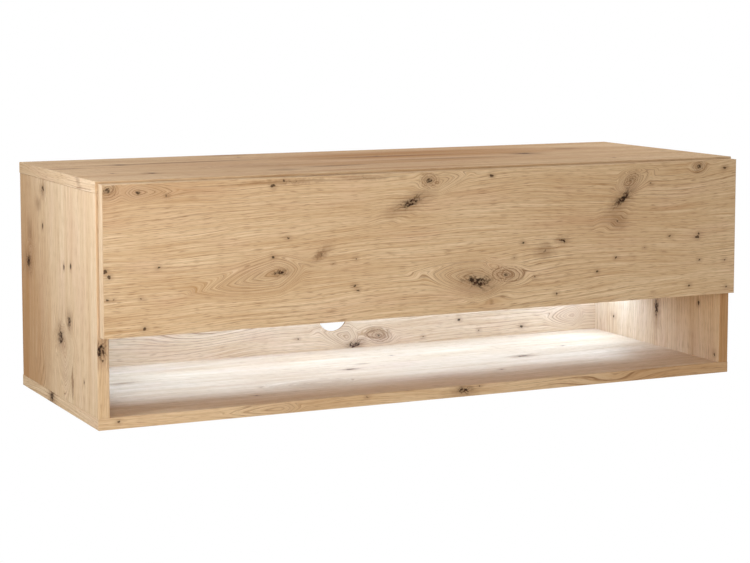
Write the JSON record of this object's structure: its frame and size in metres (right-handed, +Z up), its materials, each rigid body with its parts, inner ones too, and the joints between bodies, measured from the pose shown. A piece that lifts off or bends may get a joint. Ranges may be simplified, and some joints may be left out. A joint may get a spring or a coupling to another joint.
{
  "type": "wall-mounted tv cabinet",
  "caption": "Wall-hung cabinet with a wide lift-up flap over a closed compartment and an open, lit niche below with a cable hole in its back.",
  "frame": {"origin": "middle of the back face, on the wall plane at half the cabinet's height", "axes": "X to the right along the width, the front faces -Y and the wall is on the +Y side, +Z up"},
  "size_m": [1, 0.378, 0.33],
  "materials": {
    "oak_board": "knotty light oak decor, satin",
    "oak_edge": "oak decor edge band, satin",
    "bumper": "clear soft bumper",
    "hinge_steel": "nickel plated steel",
    "stay_steel": "grey coated steel",
    "zinc": "zinc plated",
    "grey_plastic": "moulded grey plastic",
    "hanger_steel": "galvanised steel",
    "beech": "turned beech",
    "light_aluminium": "anodised",
    "light_tape": "white circuit strip",
    "light_diffuser": "opal, lit"
  },
  "bodies": {
    "carcase": {"top_panel": "oak_board", "bottom_panel": "oak_board", "side_panel_left": "oak_board", "side_panel_right": "oak_board", "middle_shelf": "oak_board", "back_panel": "oak_board", "top_edge_bands": "oak_edge", "bottom_edge_bands": "oak_edge", "side_edge_band_left": "oak_edge", "side_edge_band_right": "oak_edge", "shelf_edge_band": "oak_edge", "flap_bumpers": "bumper", "hinge_plate_left": "hinge_steel", "hinge_plate_right": "hinge_steel", "hinge_arm_left": "hinge_steel", "hinge_arm_right": "hinge_steel", "hinge_pin_left": "hinge_steel", "hinge_pin_right": "hinge_steel", "stay_base_left": "hinge_steel", "stay_base_right": "hinge_steel", "hinge_plate_screws": "zinc", "hinge_adjusting_screws": "zinc", "stay_base_screws": "zinc", "hanger_screws": "zinc", "cam_locks": "zinc", "confirmat_screws": "zinc", "back_pins": "zinc", "stay_knob_left": "grey_plastic", "stay_knob_right": "grey_plastic", "hanger_casing_left": "grey_plastic", "hanger_casing_right": "grey_plastic", "hanger_hook_left": "hanger_steel", "hanger_hook_right": "hanger_steel", "wall_plate_left": "hanger_steel", "wall_plate_right": "hanger_steel", "cam_bolts": "hanger_steel", "dowels": "beech", "light_profile": "light_aluminium", "light_end_caps": "light_aluminium", "light_tape": "light_tape", "light_diffuser": "light_diffuser"},
    "flap": {"flap_panel": "oak_board", "flap_edge_bands": "oak_edge", "hinge_cup_left": "hinge_steel", "hinge_cup_right": "hinge_steel", "hinge_cup_screws": "zinc", "flap_bracket_left": "hinge_steel", "flap_bracket_right": "hinge_steel", "flap_bracket_screws": "zinc"},
    "link_left": {"hinge_link_left": "hinge_steel"},
    "link_right": {"hinge_link_right": "hinge_steel"},
    "stay_arm_left": {"stay_arm_left": "stay_steel", "stay_rivet_left": "zinc"},
    "stay_arm_right": {"stay_arm_right": "stay_steel", "stay_rivet_right": "zinc"},
    "stay_link_left": {"stay_link_left": "stay_steel"},
    "stay_link_right": {"stay_link_right": "stay_steel"}
  },
  "joints": [
    {"name": "flap_hinge", "type": "hinge", "parent": "carcase", "child": "flap", "pos_m": [0, -0.376, 0.1552], "axis": [-1, 0, 0], "range_deg": [0, 90], "stiffness_Nm_per_rad": 0.5, "springref_deg": -57.3},
    {"name": "hinge_link_left_turn", "type": "hinge", "parent": "carcase", "child": "link_left", "pos_m": [-0.38, -0.366, 0.128], "axis": [1, 0, 0], "range_deg": [0, 40]},
    {"name": "stay_arm_left_turn", "type": "hinge", "parent": "carcase", "child": "stay_arm_left", "pos_m": [-0.4747, -0.316, 0.0952], "axis": [-1, 0, 0], "range_deg": [0, 90]},
    {"name": "stay_link_left_turn", "type": "hinge", "parent": "stay_arm_left", "child": "stay_link_left", "pos_m": [-0.4724, -0.291, 0.0142], "axis": [1, 0, 0], "range_deg": [0, 90]},
    {"name": "hinge_link_right_turn", "type": "hinge", "parent": "carcase", "child": "link_right", "pos_m": [0.38, -0.366, 0.128], "axis": [1, 0, 0], "range_deg": [0, 40]},
    {"name": "stay_arm_right_turn", "type": "hinge", "parent": "carcase", "child": "stay_arm_right", "pos_m": [0.4747, -0.316, 0.0952], "axis": [-1, 0, 0], "range_deg": [0, 90]},
    {"name": "stay_link_right_turn", "type": "hinge", "parent": "stay_arm_right", "child": "stay_link_right", "pos_m": [0.4724, -0.291, 0.0142], "axis": [1, 0, 0], "range_deg": [0, 90]}
  ],
  "couplings": [
    {"joint": "hinge_link_left_turn", "follows": "flap_hinge", "ratio": 0.4444},
    {"joint": "stay_arm_left_turn", "follows": "flap_hinge", "ratio": 1},
    {"joint": "stay_link_left_turn", "follows": "flap_hinge", "ratio": 1},
    {"joint": "hinge_link_right_turn", "follows": "flap_hinge", "ratio": 0.4444},
    {"joint": "stay_arm_right_turn", "follows": "flap_hinge", "ratio": 1},
    {"joint": "stay_link_right_turn", "follows": "flap_hinge", "ratio": 1}
  ]
}
